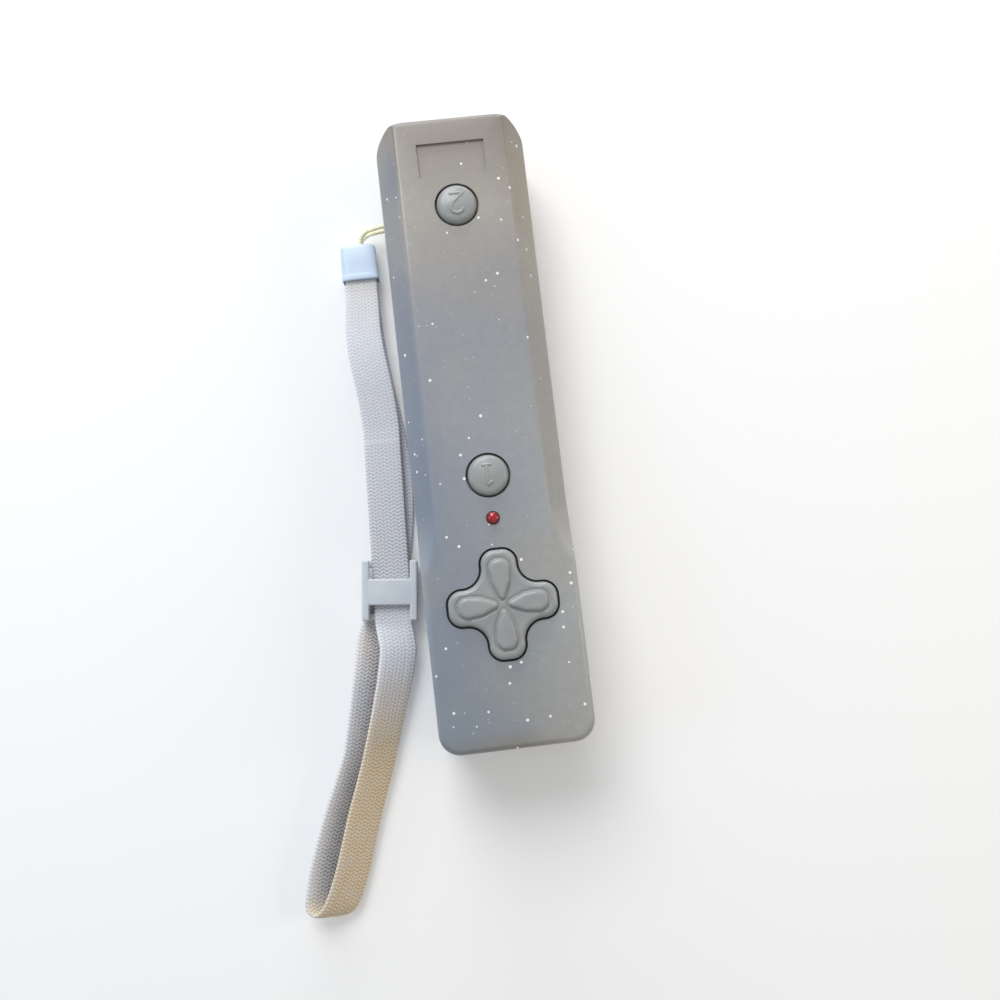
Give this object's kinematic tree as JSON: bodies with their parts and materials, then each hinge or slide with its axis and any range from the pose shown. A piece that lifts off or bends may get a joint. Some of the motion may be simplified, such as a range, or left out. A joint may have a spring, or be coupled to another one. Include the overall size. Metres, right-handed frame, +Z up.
{
  "type": "motion controller wand",
  "caption": "Slim hand-held game controller wand with a chamfered grey casing, round buttons, a rocking cross pad, a red indicator, a battery door and a webbing wrist strap.",
  "frame": {"origin": "middle of the casing's back, on the surface that it lies on", "axes": "+Z up out of the button face, +Y along the casing to the rear end with the label recess, +X to the right seen from above with the rear end up"},
  "size_m": [0.0732, 0.188, 0.0271],
  "materials": {
    "casing_grey": "satin moulded plastic with fine glitter specks",
    "key_grey": "satin moulded plastic",
    "led_red": "glossy tinted dome",
    "membrane": "soft silicone",
    "carbon": "matt",
    "board_green": "solder resist",
    "ribbon_grey": "matt",
    "chip_black": "epoxy",
    "can_metal": "drawn can",
    "wire_black": "insulation",
    "wire_red": "insulation",
    "contact_metal": "nickel plate",
    "screw_steel": "zinc plate",
    "cell_jacket": null,
    "lanyard_cream": "twisted cord",
    "webbing_white": "flat braided webbing",
    "strap_plastic": "smooth white plastic"
  },
  "bodies": {
    "casing": {"upper_shell": "casing_grey", "lower_shell": "casing_grey", "case_screws": "screw_steel", "dpad_pivot_post": "casing_grey", "indicator_led": "led_red", "main_board": "board_green", "rear_board": "board_green", "board_screws": "screw_steel", "board_ribbon": "ribbon_grey", "controller_chip": "chip_black", "crystal": "can_metal", "motion_switch": "can_metal", "antenna_wire": "wire_black", "lead_red": "wire_red", "lead_black": "wire_black", "front_positive_contact": "contact_metal", "front_negative_contact": "contact_metal", "rear_bridge_contact": "contact_metal", "aaa_cell_left": "cell_jacket", "aaa_cell_right": "cell_jacket", "main_button_membrane": "membrane", "rear_button_membrane": "membrane", "dpad_membrane": "membrane", "lanyard_cord": "lanyard_cream", "strap_cap": "strap_plastic", "strap_front_run": "webbing_white", "strap_back_run": "webbing_white", "wrist_loop": "webbing_white"},
    "main_button": {"main_button": "key_grey", "main_button_pill": "carbon"},
    "rear_button": {"rear_button": "key_grey", "rear_button_pill": "carbon"},
    "dpad_pivot": {"dpad_pivot_ball": "screw_steel"},
    "dpad": {"dpad": "key_grey", "dpad_pills": "carbon"},
    "battery_door": {"battery_door": "casing_grey", "door_screws": "screw_steel"},
    "strap_slider": {"strap_slider": "strap_plastic"}
  },
  "joints": [
    {"name": "main_button_press", "type": "slide", "parent": "casing", "child": "main_button", "axis": [0, 0, -1], "range_m": [0, 0.0012], "stiffness_N_per_m": 400, "springref_m": -0.0005, "deforming": ["main_button_membrane"]},
    {"name": "rear_button_press", "type": "slide", "parent": "casing", "child": "rear_button", "axis": [0, 0, -1], "range_m": [0, 0.0012], "stiffness_N_per_m": 400, "springref_m": -0.0005, "deforming": ["rear_button_membrane"]},
    {"name": "dpad_tilt_x", "type": "hinge", "parent": "casing", "child": "dpad_pivot", "pos_m": [0, -0.042, 0.0226], "axis": [1, 0, 0], "range_deg": [-4, 4], "stiffness_Nm_per_rad": 0.1, "deforming": ["dpad_membrane"]},
    {"name": "dpad_tilt_y", "type": "hinge", "parent": "dpad_pivot", "child": "dpad", "pos_m": [0, -0.042, 0.0226], "axis": [0, 1, 0], "range_deg": [-4, 4], "stiffness_Nm_per_rad": 0.1, "deforming": ["dpad_membrane"]},
    {"name": "battery_door_lift", "type": "slide", "parent": "casing", "child": "battery_door", "axis": [0, 0, -1], "range_m": [0, 0.03]},
    {"name": "strap_slider_slide", "type": "slide", "parent": "casing", "child": "strap_slider", "axis": [0.04, 0.9992, 0], "range_m": [0, 0.03]}
  ]
}
